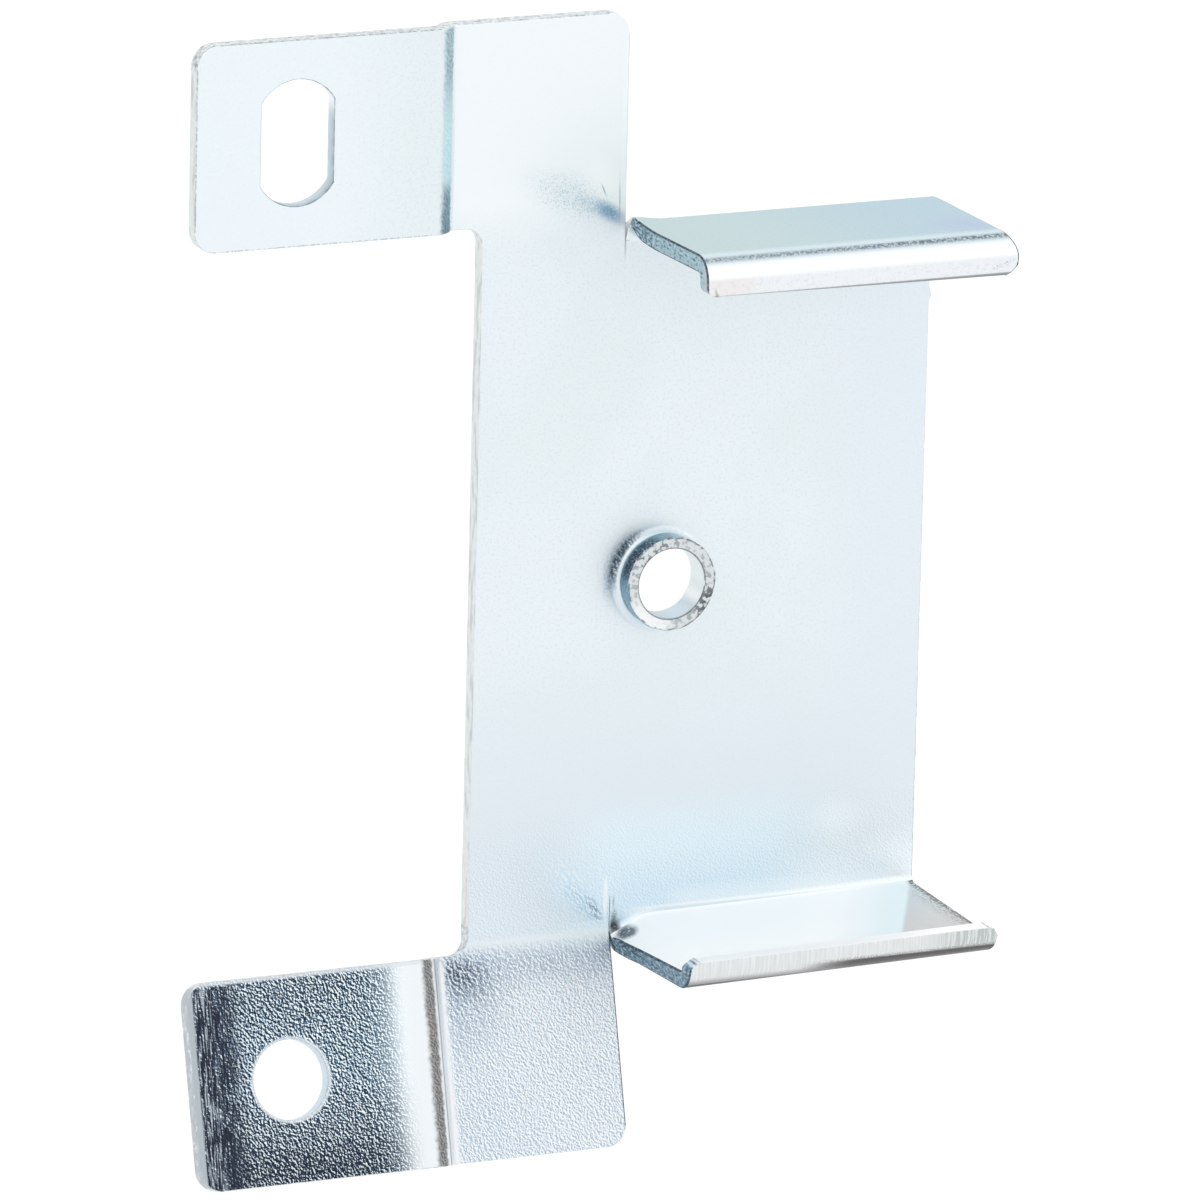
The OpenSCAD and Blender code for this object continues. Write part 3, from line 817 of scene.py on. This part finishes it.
punchedEdge = {
    "metal": 0.8,
    "base": tone(208, 214, 217),
    "grain": "mottle",
    "rough": (0.4, 0.62),
    "bump": (0.4, 0.06),
    "groups": [
        {"layers": [
            {"colour": tone(164, 170, 174), "amount": 0.5, "grain": [("fleck", 0.5, 0.66)]},
            {"colour": tone(236, 240, 242), "amount": 0.7, "grain": [("pit", 0.5, 0.4)]},
            {"colour": tone(96, 102, 108), "amount": 0.5, "grain": [("pit", 0.6, 0.66)]},
        ]},
        # long left edges, plated smooth
        {"area": {"x": (None, -13.4, 0.02), "z": (-23.0, 37.2, 0.2)}, "layers": [
            {"colour": tone(226, 231, 230), "amount": 0.85},
            {"colour": tone(186, 193, 195), "amount": 0.6, "grain": [("downStreak", 0.5, 0.62)]},
        ]},
        # slot and hole, plated smooth, with a painted highlight along the top of their walls
        {"area": {"x": (-31.0, -24.4, 0.1), "z": (27.4, 36.6, 0.1)}, "layers": [
            {"colour": tone(198, 212, 220), "amount": 0.95},
            {"colour": tone(246, 249, 250), "amount": 0.9,
             "bands": {"z": (34.0, None, 0.8), "y": (-0.8, None, 0.15)}},
            {"colour": tone(166, 182, 194), "amount": 0.7,
             "bands": {"y": (None, -0.5, 0.4), "z": (None, 33.6, 0.8)}},
            {"colour": tone(138, 144, 146), "amount": 0.8, "bands": {"y": (None, -0.86, 0.03)},
             "grain": [("mottle", 0.42, 0.56)]},
        ]},
        # dark broken line at the front of the upper tab's edges
        {"area": {"z": (24.6, None, 0.1), "x": (None, -17.6, 0.2)}, "layers": [
            {"colour": tone(150, 156, 158), "amount": 0.5, "bands": {"y": (None, -0.84, 0.04)},
             "grain": [("fleck", 0.4, 0.56)]},
        ]},
        {"area": {"x": (-30.6, -24.6, 0.1), "leanZ": (4.4, 10.7, 0.1)}, "layers": [
            {"colour": tone(214, 226, 236), "amount": 0.95},
            {"colour": tone(150, 160, 172), "amount": 0.6, "bands": {"leanY": (None, -0.75, 0.1)},
             "grain": [("fleck", 0.4, 0.6)]},
        ]},
        {"area": {"x": (None, -34.0, 0.1), "z": (None, -22.0, 0.1)}, "layers": [
            {"colour": tone(184, 192, 198), "amount": 0.8, "grain": [("mottle", 0.3, 0.5)]},
        ]},
        # torn root of the upper flange, painted near-white as if lit, where the slit shades it
        {"area": {"x": (-3.2, -2.2, 0.02), "y": (-0.75, None, 0.06), "z": (21.5, 25.4, 0.1)},
         "layers": [
            {"colour": tone(250, 252, 253)},
        ]},
        # left ends of the flanges
        {"area": {"x": (-3.2, -2.2, 0.02), "y": (None, -0.2, 0.1)}, "layers": [
            {"colour": tone(170, 196, 206), "bands": {"z": (0.0, None, 0.1)}},
            {"colour": tone(136, 160, 178), "bands": {"z": (None, 0.0, 0.1)}},
            {"colour": tone(200, 220, 226), "amount": 0.7, "grain": [("endStreak", 0.5, 0.62)]},
            {"colour": tone(72, 94, 110), "amount": 0.7, "grain": [("endStreak", 0.46, 0.36)]},
            {"colour": tone(86, 114, 130), "amount": 0.85, "bands": {"y": (-4.0, None, 1.4)},
             "grain": [("endStreak", 0.6, 0.4)]},
            {"colour": tone(196, 204, 208), "amount": 0.8,
             "bands": {"y": (None, -11.7, 0.2), "z": (0.0, None, 0.1)}},
            {"colour": tone(238, 244, 247),
             "bands": {"y": (-0.75, None, 0.06), "z": (0.0, 24.5, 0.15)}},
        ]},
        # painted highlight along the lower lip's top edge
        {"area": {"y": (None, -11.1, 0.05), "z": (-23.45, -22.5, 0.05), "x": (-2.4, None, 0.1)},
         "layers": [
            {"colour": tone(255, 254, 254)},
        ]},
    ],
}

collarRim = {
    "metal": 0.8,
    "base": tone(217, 222, 224),
    "grain": "pit",
    "rough": (0.4, 0.6),
    "bump": (0.8, 0.12),
    "groups": [{"layers": [
        {"colour": tone(168, 176, 180), "amount": 0.8, "grain": [("pit", 0.48, 0.6)]},
        {"colour": tone(120, 128, 134), "amount": 0.9, "grain": [("pit", 0.52, 0.6)],
         "spot": {"centre": (-1.4, 2.4), "reach": (3.2, 1.6), "turn": 30}},
        # painted highlight: the bright patch at the rim's lower left
        {"colour": tone(244, 246, 247), "amount": 0.9,
         "spot": {"centre": (-1.6, -2.3), "reach": (2.6, 1.6), "turn": -30, "core": 0.3}},
        {"colour": tone(74, 80, 86), "amount": 0.95, "grain": [("pit", 0.46, 0.54)],
         "spot": {"centre": (2.8, -1.5), "reach": (2.6, 1.8), "turn": 60}},
        {"colour": tone(112, 120, 126), "amount": 0.8, "bands": {"fromBore": (None, 2.5, 0.03)}},
        {"colour": tone(96, 102, 106), "amount": 0.8, "bands": {"fromBore": (3.1, None, 0.05)},
         "grain": [("mottle", 0.46, 0.54)]},
    ]}],
}

tornRim = {
    "metal": 0.75,
    "base": tone(92, 112, 126),
    "grain": "endStreak",
    "rough": (0.45, 0.65),
    "bump": (0.4, 0.05),
    "groups": [{"layers": [
        {"colour": tone(48, 62, 74), "amount": 0.8, "grain": [("pit", 0.45, 0.6)]},
        {"colour": tone(150, 172, 184), "amount": 0.5, "grain": [("endStreak", 0.55, 0.65)]},
    ]}],
}

bracket = foldedSheet()
print("sheet built,", len(bracket.data.polygons), "faces")
for name, look in (("zincSkin", zincSkin), ("punchedEdge", punchedEdge), ("collarRim", collarRim),
                   ("tornRim", tornRim), ("flangeInside", flangeInside)):
    bracket.data.materials.append(metalFinish(name, look))
print("finishes made")

studio = {
    "floorHeight": -62 * mm,
    "floorColour": (0.96, 0.96, 0.96, 1.0),
    "floorRough": 0.9,
    "floorSize": 6.0,
    "worldLight": 1.0,
    # place in m, size in m, watts
    "keyLamp": ((-0.7, -0.8, 1.1), 1.2, 1.6),
    "fillLamp": ((0.9, -0.5, 0.8), 1.2, 0.9),
    "backLamp": ((0.1, 0.9, 0.9), 1.2, 0.9),
}


def studioFloor():
    bm = bmesh.new()
    bmesh.ops.create_grid(bm, x_segments=1, y_segments=1, size=studio["floorSize"])
    bmesh.ops.translate(bm, verts=bm.verts, vec=(0, 0, studio["floorHeight"]))
    mesh = bpy.data.meshes.new("floor")
    bm.to_mesh(mesh)
    bm.free()
    floor = bpy.data.objects.new("floor", mesh)
    bpy.context.scene.collection.objects.link(floor)
    material, tree, shader = newFinish("paleFloor")
    shader.inputs["Base Color"].default_value = studio["floorColour"]
    shader.inputs["Roughness"].default_value = studio["floorRough"]
    shader.inputs["Specular IOR Level"].default_value = 0.0
    mesh.materials.append(material)


# white to the camera and in reflections
def studioWorld():
    world = bpy.data.worlds.new("paleStudio")
    bpy.context.scene.world = world
    world.use_nodes = True
    tree = world.node_tree
    tree.nodes.clear()
    rays = addNode(tree, "ShaderNodeLightPath").outputs
    seen = calc(tree, "MAXIMUM", rays["Is Camera Ray"],
                calc(tree, "MAXIMUM", rays["Is Glossy Ray"], rays["Is Transmission Ray"]))
    strength = addNode(tree, "ShaderNodeMapRange",
                       {"Value": seen, "To Min": studio["worldLight"], "To Max": 1.0})
    light = addNode(tree, "ShaderNodeBackground", {"Color": (1, 1, 1, 1), "Strength": strength.outputs[0]})
    output = addNode(tree, "ShaderNodeOutputWorld")
    tree.links.new(light.outputs[0], output.inputs[0])


def studioLamp(name):
    place, size, watts = studio[name]
    lamp = bpy.data.lights.new(name, "AREA")
    lamp.shape = "DISK"
    lamp.size = size
    lamp.energy = watts
    holder = bpy.data.objects.new(name, lamp)
    holder.location = place
    holder.rotation_euler = (-Vector(place)).to_track_quat("-Z", "Y").to_euler()
    bpy.context.scene.collection.objects.link(holder)


photoView = {
    "azimuth": -24.862,   # degrees round from the front, towards the tabs
    "elevation": 14.831,
    "roll": 1.369,
    "distance": 866.26 * mm,
    "slideX": 4.056 * mm,
    "slideY": -1.512 * mm,
    "lens": 388.62,
    "sensor": 36,
    "clip": (0.05, 50),
}


def photoCamera():
    a, e, r = (math.radians(photoView[k]) for k in ("azimuth", "elevation", "roll"))
    back = Vector((math.sin(a) * math.cos(e), -math.cos(a) * math.cos(e), math.sin(e)))
    right = Vector((math.cos(a), math.sin(a), 0))
    up = Vector((-math.sin(a) * math.sin(e), math.cos(a) * math.sin(e), math.cos(e)))
    across = math.cos(r) * right + math.sin(r) * up
    upward = math.cos(r) * up - math.sin(r) * right
    data = bpy.data.cameras.new("photoCamera")
    data.sensor_width = photoView["sensor"]
    data.lens = photoView["lens"]
    data.clip_start, data.clip_end = photoView["clip"]
    camera = bpy.data.objects.new("photoCamera", data)
    spot = photoView["distance"] * back - photoView["slideX"] * across + photoView["slideY"] * upward
    camera.matrix_world = Matrix.Translation(spot) @ Matrix((across, upward, back)).transposed().to_4x4()
    bpy.context.scene.collection.objects.link(camera)
    bpy.context.scene.camera = camera


studioFloor()
studioWorld()
for name in ("keyLamp", "fillLamp", "backLamp"):
    studioLamp(name)
photoCamera()
bpy.context.scene.view_settings.view_transform = "Standard"
print("studio set")
